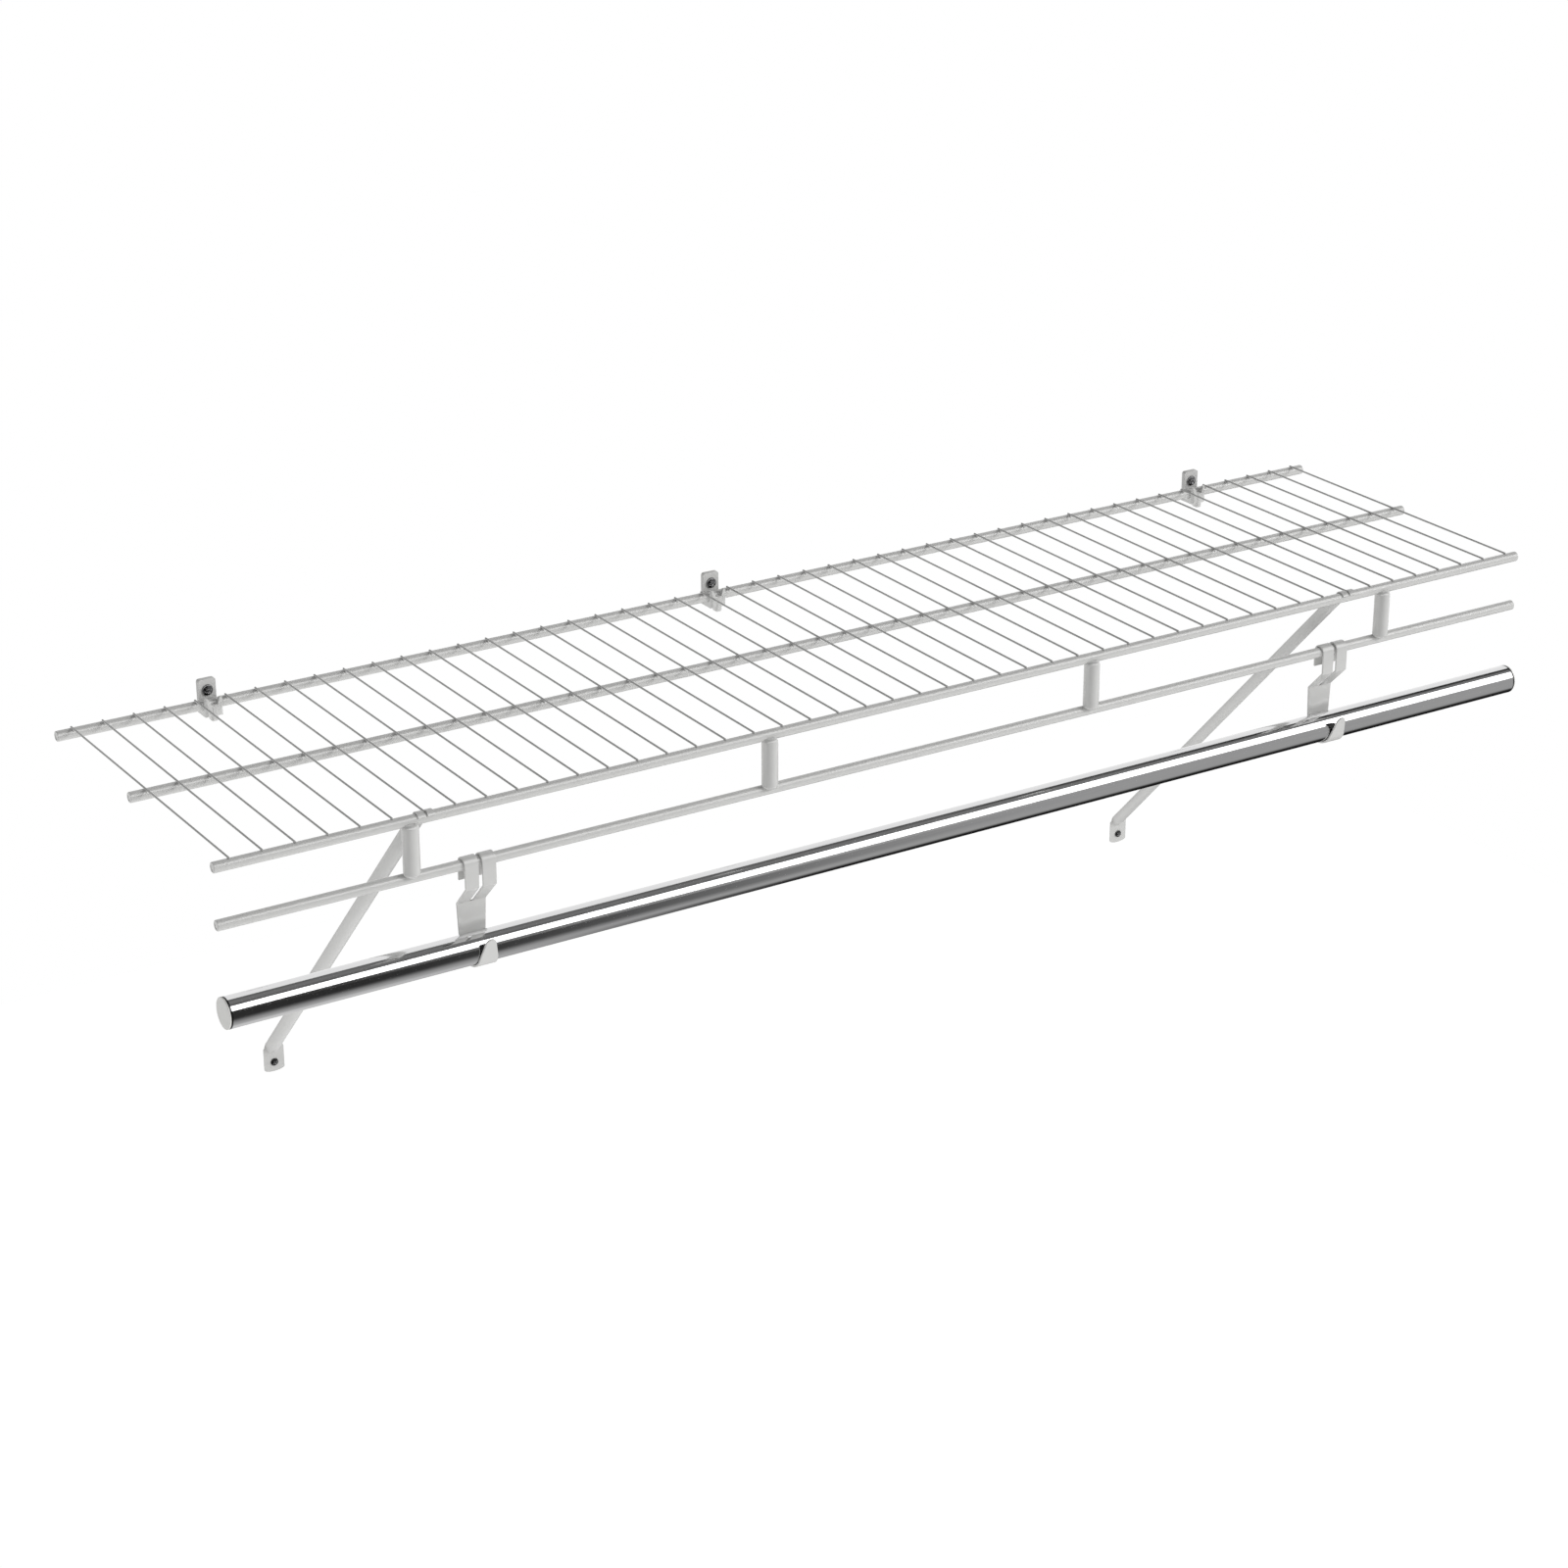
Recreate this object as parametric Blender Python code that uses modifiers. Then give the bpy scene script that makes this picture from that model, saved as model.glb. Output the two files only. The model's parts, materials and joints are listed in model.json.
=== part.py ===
"""Wall-mounted wire closet shelf with a closet rod.

Three rails carry 48 deck wires. A fourth rail hangs below the front one on four posts. Two diagonal
braces hook over the front rail and are screwed to the wall, and three clips hold the rear rail. Two
hooks slide on the lower rail and carry the rod.

Metres, +Z up. The wall is the plane Y = 0 and the room is at -Y. The origin is on the wall face of the
middle clip, at the height of the rear rail's axis. The shelf runs along X.
"""

from math import asin, atan2, cos, pi, radians, sin

import bmesh
import bpy
from mathutils import Matrix, Vector

# Clearances
gap = 0.0003
cut_overrun = 0.004

# Rails and deck wires
shelf_length = 1.2192
rail_diameter = 0.0084
rail_end_chamfer = 0.0006
rear_rail_to_wall = 0.0092
rear_to_middle_rail = 0.1399
middle_to_front_rail = 0.1464
lower_rail_drop = 0.0446
wire_pitch = 0.0254
wire_diameter = 0.0016
wire_end_overhang = 0.0007
weld_set_down = 0.0003

# Posts between the front rail and the lower rail
post_diameter = 0.0129
post_forward = 0.0029
post_top_below_front_rail = 0.0012
post_bottom_above_lower_rail = 0.0020
post_length_shares = (-3 / 8, -1 / 8, 1 / 8, 3 / 8)

# Wall clips
middle_clip_pitches_left_share = 1
end_clip_pitches_in_shares = (4.5, 4.42)
clip_width = 0.0146
clip_plate_thickness = 0.0042
clip_top = 0.0186
clip_corner_radius = 0.0020
clip_ledge_height = 0.0025
clip_bottom = 0.0087
clip_front_reach = 0.0078
clip_front_radius = 0.0024
clip_front_corner_radius = 0.0030
clip_horn_height = 0.0070
clip_horn_tip = 0.0010
clip_horn_lean = 0.0008
clip_lip_height = 0.0012
clip_notch_bottom = 0.0056
clip_notch_top = 0.0098
clip_grip_angle = radians(30)
clip_nose_width = 0.0060
clip_nose_length = 0.0072
clip_nose_height = 0.0070
clip_nose_drop = 0.0038
clip_nose_rounding = 0.0016
clip_nose_forward = 0.0002
clip_rib_width = 0.0038
clip_rib_depth = 0.0033
clip_rib_top = 0.0006
clip_rib_rounding = 0.0006
clip_rib_forward = 0.0005
clip_screw_height = 0.0096

# Screws
shank_diameter = 0.0040
hole_clearance = 0.0003
clip_screw_head = 0.0090
clip_screw_head_height = 0.0019
foot_screw_head = 0.0064
foot_screw_head_height = 0.0014
recess_length_share = 0.56
recess_width_share = 0.13
recess_depth_share = 0.55

# Braces
brace_wires_in_shares = (6, 7)
sheet_thickness = 0.0010
brace_width = 0.01414
brace_depth = 0.0070
brace_drop = 0.3183
brace_channel_to_rail = 0.0125
brace_strap_length = 0.0030
brace_strap_meets_rail = radians(25)
brace_foot_width = 0.0178
brace_foot_below = 0.0137
brace_foot_rounding = 0.0026
brace_shoulder_drop = 0.0056
brace_top_width = 0.0130
brace_slot_depth = 0.0089
brace_tip_height = 0.0018
foot_screw_below = 0.0079

# Rod hooks
hook_thickness = 0.0016
hook_width = 0.02585
hook_slot = 0.0030
hook_from_posts = (0.0346, 0.0315)
hook_leg_below_rail = 0.0140
hook_upper_bend_below_rail = 0.0178
hook_lower_bend_below_rail = 0.0356
hook_lower_bend_width = 0.0243
hook_back_width = 0.0215
hook_tongue_width = 0.0152
hook_tongue_length = 0.0178
hook_tip_radius = 0.0046
hook_tip_last_turn = radians(80)
hook_tongue_open_angle = radians(18)

# Closet rod
rod_diameter = 0.0242
rod_wall = 0.0010
rod_total_length = 1.2184
rod_below_lower_rail = 0.0682
rod_forward = 0.0014
rod_cap_flange = 0.0012
rod_cap_plug = 0.0080
rod_cap_wall = 0.0015

# Facets
rail_sides = 28
wire_sides = 8
rod_sides = 48
screw_sides = 24
section_steps = 14
bend_steps = 8
smooth_below = radians(35)

# Places that follow from the sizes
rail_radius = rail_diameter / 2
groove_radius = rail_radius + gap
wire_count = round(shelf_length / wire_pitch)
shelf_centre = middle_clip_pitches_left_share * wire_pitch
first_wire = shelf_centre - (wire_count - 1) / 2 * wire_pitch
last_wire = shelf_centre + (wire_count - 1) / 2 * wire_pitch
rear_rail_y = -rear_rail_to_wall
middle_rail_y = rear_rail_y - rear_to_middle_rail
front_rail_y = middle_rail_y - middle_to_front_rail
wire_z = rail_radius + gap + wire_diameter / 2
middle_rail_z = wire_z - wire_diameter / 2 - rail_radius + weld_set_down
lower_rail_z = -lower_rail_drop
rod_radius = rod_diameter / 2
rod_y = front_rail_y - rod_forward
rod_z = lower_rail_z - rod_below_lower_rail

ALONG_X = (0, pi / 2, 0)
OUT_OF_WALL = (pi / 2, 0, 0)


def clear_scene():
    for old in list(bpy.data.objects):
        bpy.data.objects.remove(old, do_unlink=True)


def collection(name):
    made = bpy.data.collections.new(name)
    bpy.context.scene.collection.children.link(made)
    return made


def material(name, colour, roughness, metallic):
    made = bpy.data.materials.new(name)
    made.use_nodes = True
    shader = made.node_tree.nodes["Principled BSDF"]
    shader.inputs["Base Color"].default_value = (*colour, 1)
    shader.inputs["Roughness"].default_value = roughness
    shader.inputs["Metallic"].default_value = metallic
    return made


def place(name, mesh, finish, location=(0, 0, 0), rotation=(0, 0, 0)):
    """A named sub-part, shaded smooth except at its edges."""
    mesh.shade_smooth()
    mesh.set_sharp_from_angle(angle=smooth_below)
    mesh.materials.append(finish)
    made = bpy.data.objects.new(name, mesh)
    made.location = location
    made.rotation_euler = rotation
    parts.objects.link(made)
    return made


def guide(name, mesh, location=(0, 0, 0), rotation=(0, 0, 0)):
    """A shape that only cuts or joins others."""
    made = bpy.data.objects.new(name, mesh)
    made.location = location
    made.rotation_euler = rotation
    made.hide_render = True
    made.display_type = "WIRE"
    cutters.objects.link(made)
    return made


def combine(target, tool, operation):
    step = target.modifiers.new(tool.name, "BOOLEAN")
    step.operation = operation
    step.object = tool
    step.solver = "EXACT"


def mesh_from(name, shape):
    made = bpy.data.meshes.new(name)
    shape.to_mesh(made)
    shape.free()
    return made


def cylinder_mesh(name, radius, length, sides):
    """A closed cylinder along Z, centred on its origin."""
    shape = bmesh.new()
    bmesh.ops.create_cone(
        shape, cap_ends=True, segments=sides, radius1=radius, radius2=radius, depth=length
    )
    return mesh_from(name, shape)


def box_mesh(name, width, depth, height):
    shape = bmesh.new()
    bmesh.ops.create_cube(shape, size=1)
    bmesh.ops.scale(shape, vec=(width, depth, height), verts=shape.verts)
    return mesh_from(name, shape)


def rounded_box_mesh(name, width, depth, height, rounding):
    shape = bmesh.new()
    shape.from_mesh(box_mesh(name, width, depth, height))
    bmesh.ops.bevel(
        shape, geom=shape.edges[:], offset=rounding, segments=bend_steps // 2, profile=0.5, affect="EDGES"
    )
    return mesh_from(name, shape)


def prism_mesh(name, outline, length):
    """A flat outline in its own XY plane, extruded by length about that plane."""
    curve = bpy.data.curves.new(name, "CURVE")
    curve.dimensions = "2D"
    curve.fill_mode = "BOTH"
    curve.extrude = length / 2
    spline = curve.splines.new("POLY")
    spline.points.add(len(outline) - 1)
    for point, (across, up) in zip(spline.points, outline):
        point.co = (across, up, 0, 1)
    spline.use_cyclic_u = True
    holder = bpy.data.objects.new(name, curve)
    cutters.objects.link(holder)
    evaluated = holder.evaluated_get(bpy.context.evaluated_depsgraph_get())
    made = bpy.data.meshes.new_from_object(evaluated)
    bpy.data.objects.remove(holder)
    shape = bmesh.new()
    shape.from_mesh(made)
    bmesh.ops.remove_doubles(shape, verts=shape.verts, dist=gap / 100)
    bmesh.ops.recalc_face_normals(shape, faces=shape.faces)
    shape.to_mesh(made)
    shape.free()
    return made


def turned(name, profile, finish, sides, location, rotation):
    """A profile of (radius, height) points, top to bottom down its outer side, turned about Z."""
    mesh = bpy.data.meshes.new(name)
    closed = profile[0][0] > 0
    count = len(profile)
    edges = [(i, (i + 1) % count) for i in range(count if closed else count - 1)]
    mesh.from_pydata([(radius, 0, height) for radius, height in profile], edges, [])
    made = place(name, mesh, finish, location, rotation)
    screw = made.modifiers.new("turn", "SCREW")
    screw.axis = "Z"
    screw.steps = sides
    screw.render_steps = sides
    screw.use_merge_vertices = True
    screw.merge_threshold = gap / 100
    return made


def arc(centre, radius, start, end, steps):
    """Points on an arc, both ends included, with angles from +first towards +second coordinate."""
    angles = [start + (end - start) * step / steps for step in range(steps + 1)]
    return [(centre[0] + radius * cos(a), centre[1] + radius * sin(a)) for a in angles]


def sheet_mesh(name, rows, is_open=lambda row, column: False):
    """A skin through rows of points, with its face normals at the left of the way the rows run."""
    shape = bmesh.new()
    grid = [[shape.verts.new(point) for point in row] for row in rows]
    for r in range(len(rows) - 1):
        for c in range(len(rows[r]) - 1):
            if not is_open(r, c):
                corners = (grid[r][c], grid[r][c + 1], grid[r + 1][c + 1], grid[r + 1][c])
                shape.faces.new(corners)
    loose = [vert for vert in shape.verts if not vert.link_faces]
    bmesh.ops.delete(shape, geom=loose, context="VERTS")
    return mesh_from(name, shape)


def thicken(target, thickness):
    """The skin's metal, laid behind its face normals."""
    step = target.modifiers.new("thickness", "SOLIDIFY")
    step.thickness = thickness
    step.offset = -1
    step.use_even_offset = True
    step.use_rim = True


def rail_mesh(name):
    mesh = cylinder_mesh(name, rail_radius, shelf_length, rail_sides)
    shape = bmesh.new()
    shape.from_mesh(mesh)
    rims = [edge for edge in shape.edges if any(len(face.verts) > 4 for face in edge.link_faces)]
    bmesh.ops.bevel(shape, geom=rims, offset=rail_end_chamfer, segments=2, profile=0.5, affect="EDGES")
    shape.to_mesh(mesh)
    shape.free()
    return mesh


def rails():
    rear = (shelf_centre, rear_rail_y, 0)
    front = (shelf_centre, front_rail_y, 0)
    lower = (shelf_centre, front_rail_y, lower_rail_z)
    for name, location in (("rear_rail", rear), ("front_rail", front), ("lower_rail", lower)):
        place(name, rail_mesh(name), coated_steel, location, ALONG_X)


def wire_deck():
    """The middle rail with the deck wires welded to it. They rest clear of the other two rails."""
    rear_end = rear_rail_y + wire_end_overhang
    front_end = front_rail_y - wire_end_overhang
    length = rear_end - front_end
    middle = (rear_end + front_end) / 2
    shape = bmesh.new()
    for index in range(wire_count):
        centre = Vector((first_wire + index * wire_pitch, middle, wire_z))
        turn = Matrix.Translation(centre) @ Matrix.Rotation(pi / 2, 4, "X")
        radius = wire_diameter / 2
        bmesh.ops.create_cone(
            shape, cap_ends=True, segments=wire_sides, radius1=radius, radius2=radius,
            depth=length, matrix=turn,
        )
    wires = guide("deck_wires", mesh_from("deck_wires", shape))
    location = (shelf_centre, middle_rail_y, middle_rail_z)
    deck = place("wire_deck", rail_mesh("wire_deck"), coated_steel, location, ALONG_X)
    combine(deck, wires, "UNION")


def rail_cutter(name, rail_y, rail_z):
    mesh = cylinder_mesh(name, groove_radius, shelf_length + cut_overrun, rail_sides)
    return guide(name, mesh, (shelf_centre, rail_y, rail_z), ALONG_X)


def posts():
    """Round posts coped to sit against the front rail and the lower rail."""
    top = -post_top_below_front_rail
    bottom = lower_rail_z + post_bottom_above_lower_rail
    front_groove = rail_cutter("front_rail_groove", front_rail_y, 0)
    lower_groove = rail_cutter("lower_rail_groove", front_rail_y, lower_rail_z)
    for number, share in enumerate(post_length_shares, 1):
        name = f"post_{number}"
        mesh = cylinder_mesh(name, post_diameter / 2, top - bottom, rail_sides)
        location = (shelf_centre + share * shelf_length, front_rail_y - post_forward, (top + bottom) / 2)
        post = place(name, mesh, coated_steel, location)
        combine(post, front_groove, "DIFFERENCE")
        combine(post, lower_groove, "DIFFERENCE")


def clip_side_outline():
    """The clip seen from the side, as (distance out of the wall, height)."""
    axis = rear_rail_to_wall
    front = axis + clip_front_reach
    bottom_turn = (front - clip_front_radius, -clip_bottom + clip_front_radius)
    groove = arc((axis, 0), groove_radius, clip_grip_angle, -pi, 2 * bend_steps)
    horn_inner = (groove[0][0] + clip_horn_lean, clip_horn_height - clip_horn_tip)
    return [
        (0, -clip_bottom),
        *arc(bottom_turn, clip_front_radius, -pi / 2, 0, bend_steps // 2),
        (front, clip_lip_height),
        (front - clip_horn_lean, clip_horn_height - clip_horn_tip),
        (front - clip_horn_lean - clip_horn_tip, clip_horn_height),
        (horn_inner[0] + clip_horn_tip / 2, clip_horn_height),
        horn_inner,
        *groove,
        (clip_plate_thickness, clip_ledge_height),
        (clip_plate_thickness, clip_top),
        (0, clip_top),
    ]


def clip_front_outline():
    """The clip seen from the front, as (sideways, height), with rounded top corners."""
    side = clip_width / 2
    inner = side - clip_corner_radius
    height = clip_top - clip_corner_radius
    return [
        (-side, -clip_bottom - cut_overrun),
        (side, -clip_bottom - cut_overrun),
        *arc((inner, height), clip_corner_radius, 0, pi / 2, bend_steps // 2),
        *arc((-inner, height), clip_corner_radius, pi / 2, pi, bend_steps // 2),
    ]


def clip_notch_outline():
    """The opening between the clip's two horns, seen from the front."""
    low = clip_notch_bottom / 2
    high = clip_notch_top / 2
    top = clip_horn_height + cut_overrun
    return [(-low, clip_lip_height), (low, clip_lip_height), (high, clip_horn_height), (high, top),
            (-high, top), (-high, clip_horn_height)]


def clip_plan_outline():
    """The clip seen from above, with rounded front corners. Its front lies just ahead of the clip's."""
    side = clip_width / 2
    inner = side - clip_front_corner_radius
    front = rear_rail_y - clip_front_reach - gap + clip_front_corner_radius
    return [
        (side, cut_overrun),
        (-side, cut_overrun),
        *arc((-inner, front), clip_front_corner_radius, pi, 3 * pi / 2, bend_steps // 2),
        *arc((inner, front), clip_front_corner_radius, 3 * pi / 2, 2 * pi, bend_steps // 2),
    ]


def clip_nose(name, x):
    """The two rounded blocks on the front of the cradle: a nose under it and a rib up its face."""
    front = rear_rail_y - clip_front_reach
    bottom = -clip_bottom - clip_nose_drop
    blocks = {
        "nose": (clip_nose_width, clip_nose_length, clip_nose_forward,
                 bottom, bottom + clip_nose_height, clip_nose_rounding),
        "rib": (clip_rib_width, clip_rib_depth, clip_rib_forward,
                bottom + clip_nose_rounding, clip_rib_top, clip_rib_rounding),
    }
    for kind, (width, depth, forward, low, high, rounding) in blocks.items():
        mesh = rounded_box_mesh(f"{name}_{kind}", width, depth, high - low, rounding)
        yield guide(mesh.name, mesh, (x, front - forward + depth / 2, (high + low) / 2))


def screw_hole(name, location, length):
    mesh = cylinder_mesh(name, shank_diameter / 2 + hole_clearance, length, screw_sides)
    return guide(name, mesh, location, OUT_OF_WALL)


def wall_clip(name, x):
    """A moulded clip: a screwed wall plate, and a cradle with two horns that holds the rear rail."""
    seen_from_side = Matrix.Rotation(-pi / 2, 4, "Z") @ Matrix.Rotation(pi / 2, 4, "X")
    mesh = prism_mesh(name, clip_side_outline(), clip_width)
    mesh.transform(seen_from_side)
    clip = place(name, mesh, white_plastic, (x, 0, 0))

    seen_from_front = Matrix.Rotation(pi / 2, 4, "X")
    depth = rear_rail_to_wall + clip_front_reach
    corners = prism_mesh(f"{name}_corners", clip_front_outline(), 2 * depth + cut_overrun)
    corners.transform(seen_from_front)
    combine(clip, guide(f"{name}_corners", corners, (x, 0, 0)), "INTERSECT")

    plan = prism_mesh(f"{name}_plan", clip_plan_outline(), 2 * (clip_top + cut_overrun))
    combine(clip, guide(f"{name}_plan", plan, (x, 0, 0)), "INTERSECT")

    notch = prism_mesh(f"{name}_notch", clip_notch_outline(), clip_front_reach + cut_overrun)
    notch.transform(seen_from_front)
    notch_y = rear_rail_y - (clip_front_reach + cut_overrun) / 2
    combine(clip, guide(f"{name}_notch", notch, (x, notch_y, 0)), "DIFFERENCE")

    for block in clip_nose(name, x):
        combine(clip, block, "UNION")

    hole = screw_hole(f"{name}_hole", (x, 0, clip_screw_height), 2 * clip_plate_thickness + cut_overrun)
    combine(clip, hole, "DIFFERENCE")
    return clip


def screw(name, x, z, head, head_height, plate):
    """A round-headed cross-recess screw through a plate on the wall, ending at the wall's surface."""
    radius = head / 2
    rim = head_height / 4
    dome = [(radius * cos(a), rim + (head_height - rim) * sin(a))
            for a in [pi / 2 * (1 - step / bend_steps) for step in range(bend_steps + 1)]]
    dome[0] = (0, head_height)
    shank = shank_diameter / 2
    depth = plate
    profile = [*dome, (radius, 0), (shank, 0), (shank, -depth), (0, -depth)]
    made = turned(name, profile, bright_steel, screw_sides, (x, -plate - gap, z), OUT_OF_WALL)
    recess_depth = recess_depth_share * head_height
    length = recess_length_share * head
    width = recess_width_share * head
    height = recess_depth + cut_overrun
    for arm, size in (("across", (length, width)), ("upright", (width, length))):
        mesh = box_mesh(f"{name}_recess_{arm}", size[0], size[1], height)
        y = -plate - gap - head_height + recess_depth - height / 2
        combine(made, guide(mesh.name, mesh, (x, y, z), OUT_OF_WALL), "DIFFERENCE")


def wall_clips():
    places = {
        "wall_clip_left": first_wire + end_clip_pitches_in_shares[0] * wire_pitch,
        "wall_clip_middle": 0,
        "wall_clip_right": last_wire - end_clip_pitches_in_shares[1] * wire_pitch,
    }
    for name, x in places.items():
        wall_clip(name, x)
        screw_name = name.replace("wall_clip", "clip_screw")
        screw(screw_name, x, clip_screw_height, clip_screw_head, clip_screw_head_height, clip_plate_thickness)


def across_section(half_width):
    """Sideways places on a half-round section and how far each lies towards its crown, as a share."""
    steps = [pi * step / section_steps for step in range(section_steps + 1)]
    return [(-half_width * cos(angle), sin(angle)) for angle in steps]


def across_strap(half_width):
    """Even places across a flat strap, as many as on the half-round section."""
    return [half_width * (2 * step / section_steps - 1) for step in range(section_steps + 1)]


def brace_rows():
    """The skin of a brace from its foot up to its hook, as rows across it, at its place in Y and Z."""
    foot_y = -sheet_thickness
    run = -front_rail_y - sheet_thickness
    slope = atan2(brace_drop, run)
    rim_z = -brace_drop + brace_depth / cos(slope)
    half = brace_width / 2
    foot_half = brace_foot_width / 2
    strap = across_strap(brace_top_width / 2)

    foot_end = -brace_drop - brace_foot_below
    rows = [[(x, foot_y, foot_end - brace_foot_rounding * crown) for x, crown in across_section(foot_half)]]
    shoulder = rim_z - brace_shoulder_drop
    crown_drop = shoulder + brace_drop + sheet_thickness / 2
    rows.append([(x, foot_y, shoulder - crown_drop * crown) for x, crown in across_section(foot_half)])
    rows.append([(x, foot_y, rim_z - (rim_z + brace_drop) * crown) for x, crown in across_section(half)])

    end_y = front_rail_y + brace_channel_to_rail * cos(slope)
    end_z = -brace_channel_to_rail * sin(slope)
    rows.append([(x, end_y + brace_depth * (1 - crown) * sin(slope),
                  end_z + brace_depth * (1 - crown) * cos(slope)) for x, crown in across_section(half)])

    start = brace_strap_meets_rail
    tip = pi - asin(brace_tip_height / groove_radius)
    over = arc((front_rail_y, 0), groove_radius, start, tip, bend_steps)
    strap_end = (over[0][0] + brace_strap_length * sin(start), over[0][1] - brace_strap_length * cos(start))
    for y, z in (strap_end, *over):
        rows.append([(x, y, z) for x in strap])
    return rows


def braces():
    """Half-round channels pressed flat at both ends, with two fingers over the front rail."""
    places = {
        "brace_left": first_wire + brace_wires_in_shares[0] * wire_pitch,
        "brace_right": last_wire - brace_wires_in_shares[1] * wire_pitch,
    }
    slot_width = wire_diameter + 2 * gap
    slot_bottom = -brace_slot_depth
    slot_top = groove_radius + sheet_thickness + cut_overrun
    reach = 2 * (brace_slot_depth + cut_overrun)
    hole_z = -brace_drop - foot_screw_below
    for name, x in places.items():
        brace = place(name, sheet_mesh(name, brace_rows()), coated_steel, (x, 0, 0))
        thicken(brace, sheet_thickness)
        slot = box_mesh(f"{name}_slot", slot_width, reach, slot_top - slot_bottom)
        slot_at = (x, front_rail_y, (slot_top + slot_bottom) / 2)
        combine(brace, guide(slot.name, slot, slot_at), "DIFFERENCE")
        hole = screw_hole(f"{name}_hole", (x, 0, hole_z), 2 * sheet_thickness + cut_overrun)
        combine(brace, hole, "DIFFERENCE")
        screw_name = name.replace("brace", "brace_screw")
        screw(screw_name, x, hole_z, foot_screw_head, foot_screw_head_height, sheet_thickness)


def hook_path():
    """A hook's rail-side skin as (Y, Z, half width, slotted), from the lower rail's axis."""
    half = hook_width / 2
    path = [(groove_radius, -hook_leg_below_rail, half, True)]
    over = arc((0, 0), groove_radius, 0, pi, bend_steps)
    path += [(y, z, half, True) for y, z in over]
    path.append((-groove_radius, -hook_upper_bend_below_rail, half, True))

    rod_centre = (-rod_forward, -rod_below_lower_rail)
    radius = rod_radius + gap + hook_thickness
    back = rod_centre[0] + radius
    path.append((back, -hook_lower_bend_below_rail, hook_lower_bend_width / 2, False))
    end = -pi + hook_tongue_open_angle
    under = arc(rod_centre, radius, 0, end, 2 * bend_steps)
    narrowing = (hook_back_width - hook_tongue_width) / 2
    for step, (y, z) in enumerate(under):
        path.append((y, z, hook_back_width / 2 - narrowing * step / (2 * bend_steps), False))

    start_y, start_z = under[-1]
    straight = hook_tongue_length - hook_tip_radius
    for step in range(bend_steps + 1):
        turn = hook_tip_last_turn * step / bend_steps
        length = straight + hook_tip_radius * sin(turn)
        y = start_y - length * sin(hook_tongue_open_angle)
        z = start_z + length * cos(hook_tongue_open_angle)
        path.append((y, z, hook_tip_radius * cos(turn), False))
    return path


def rod_hooks():
    """Bent straps that hang on the lower rail by two slotted fingers and hold the rod in a J."""
    post_half = post_diameter / 2
    half = hook_width / 2
    first_post = shelf_centre + post_length_shares[0] * shelf_length
    last_post = shelf_centre + post_length_shares[-1] * shelf_length
    places = {
        "rod_hook_left": first_post + post_half + half + hook_from_posts[0],
        "rod_hook_right": last_post - post_half - half - hook_from_posts[1],
    }
    path = hook_path()
    for name, x in places.items():
        rows = []
        for y, z, width, slotted in path:
            slot = min(hook_slot / 2, width / 2)
            rows.append([(-width, y, z), (-slot, y, z), (slot, y, z), (width, y, z)])
        mesh = sheet_mesh(name, rows, lambda row, column: column == 1 and path[row][3])
        hook = place(name, mesh, coated_steel, (x, front_rail_y, lower_rail_z))
        thicken(hook, hook_thickness)


def closet_rod():
    """A chrome tube with a plastic cap plugged into each end."""
    bore = rod_radius - rod_wall
    tube_half = rod_total_length / 2 - rod_cap_flange - gap
    profile = [(rod_radius, tube_half), (rod_radius, -tube_half), (bore, -tube_half), (bore, tube_half)]
    turned("closet_rod_tube", profile, chrome, rod_sides, (shelf_centre, rod_y, rod_z), ALONG_X)

    plug = bore - gap
    cap = [
        (0, rod_cap_flange), (rod_radius, rod_cap_flange), (rod_radius, 0), (plug, 0), (plug, -rod_cap_plug),
        (plug - rod_cap_wall, -rod_cap_plug), (plug - rod_cap_wall, 0), (0, 0),
    ]
    for name, side in (("rod_cap_left", -1), ("rod_cap_right", 1)):
        x = shelf_centre + side * (rod_total_length / 2 - rod_cap_flange)
        turned(name, cap, grey_plastic, rod_sides, (x, rod_y, rod_z), (0, side * pi / 2, 0))


clear_scene()
parts = collection("wall_closet_shelf")
cutters = collection("cutters")
coated_steel = material("coated_steel", (0.56, 0.56, 0.54), 0.42, 0)
chrome = material("chrome", (0.78, 0.78, 0.78), 0.12, 1)
bright_steel = material("bright_steel", (0.60, 0.60, 0.60), 0.2, 1)
white_plastic = material("white_plastic", (0.66, 0.66, 0.65), 0.45, 0)
grey_plastic = material("grey_plastic", (0.58, 0.58, 0.58), 0.4, 0)

rails()
wire_deck()
posts()
wall_clips()
braces()
rod_hooks()
closet_rod()
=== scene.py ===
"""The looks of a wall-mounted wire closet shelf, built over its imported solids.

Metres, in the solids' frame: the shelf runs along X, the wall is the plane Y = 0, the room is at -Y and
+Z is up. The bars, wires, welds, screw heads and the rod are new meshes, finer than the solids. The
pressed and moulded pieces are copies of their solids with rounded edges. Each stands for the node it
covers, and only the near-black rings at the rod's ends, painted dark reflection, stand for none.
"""

import json
from math import cos, hypot, pi, radians, sin

import bmesh
import bpy
from mathutils import Matrix, Vector

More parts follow.
